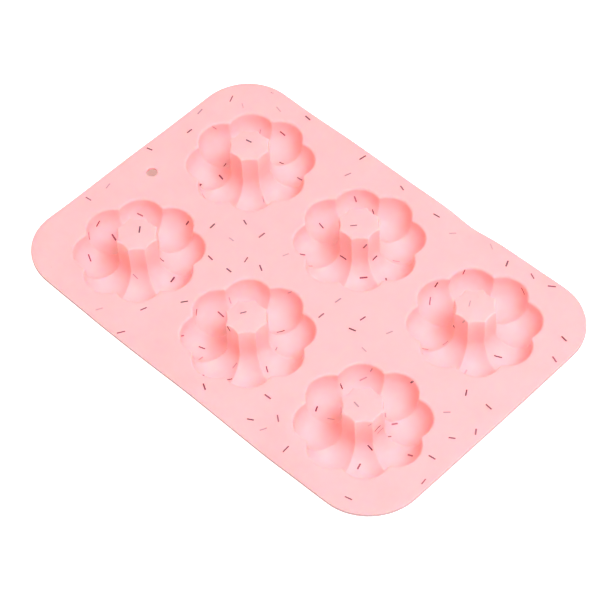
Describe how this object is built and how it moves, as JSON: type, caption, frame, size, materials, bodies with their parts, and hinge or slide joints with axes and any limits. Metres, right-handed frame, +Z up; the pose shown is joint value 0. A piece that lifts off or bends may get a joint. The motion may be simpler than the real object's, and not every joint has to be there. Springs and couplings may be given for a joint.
{
  "type": "silicone soap mould",
  "caption": "Flexible sheet mould with a grid of lobed flower-ring cups, a raised hollow post in each cup and a hanging hole near one short edge.",
  "frame": {"origin": "under the middle of the mould, on the surface that the cups stand on", "axes": "+X along the long side, away from the hanging hole; +Y across; +Z up, out of the cups' mouths"},
  "size_m": [0.28, 0.19, 0.032],
  "materials": {
    "silicone": "satin",
    "plum_fleck": "matte",
    "crimson_fleck": "matte",
    "mauve_fleck": "matte"
  },
  "bodies": {
    "root": {"hanging_eyelet": "silicone", "sheet_1": "silicone", "sheet_2": "silicone", "sheet_3": "silicone", "sheet_4": "silicone", "sheet_5": "silicone", "sheet_6": "silicone", "cup_1": "silicone", "cup_2": "silicone", "cup_3": "silicone", "cup_4": "silicone", "cup_5": "silicone", "cup_6": "silicone", "post_1": "silicone", "post_2": "silicone", "post_3": "silicone", "post_4": "silicone", "post_5": "silicone", "post_6": "silicone", "plum_flecks": "plum_fleck", "crimson_flecks": "crimson_fleck", "mauve_flecks": "mauve_fleck"}
  },
  "joints": []
}
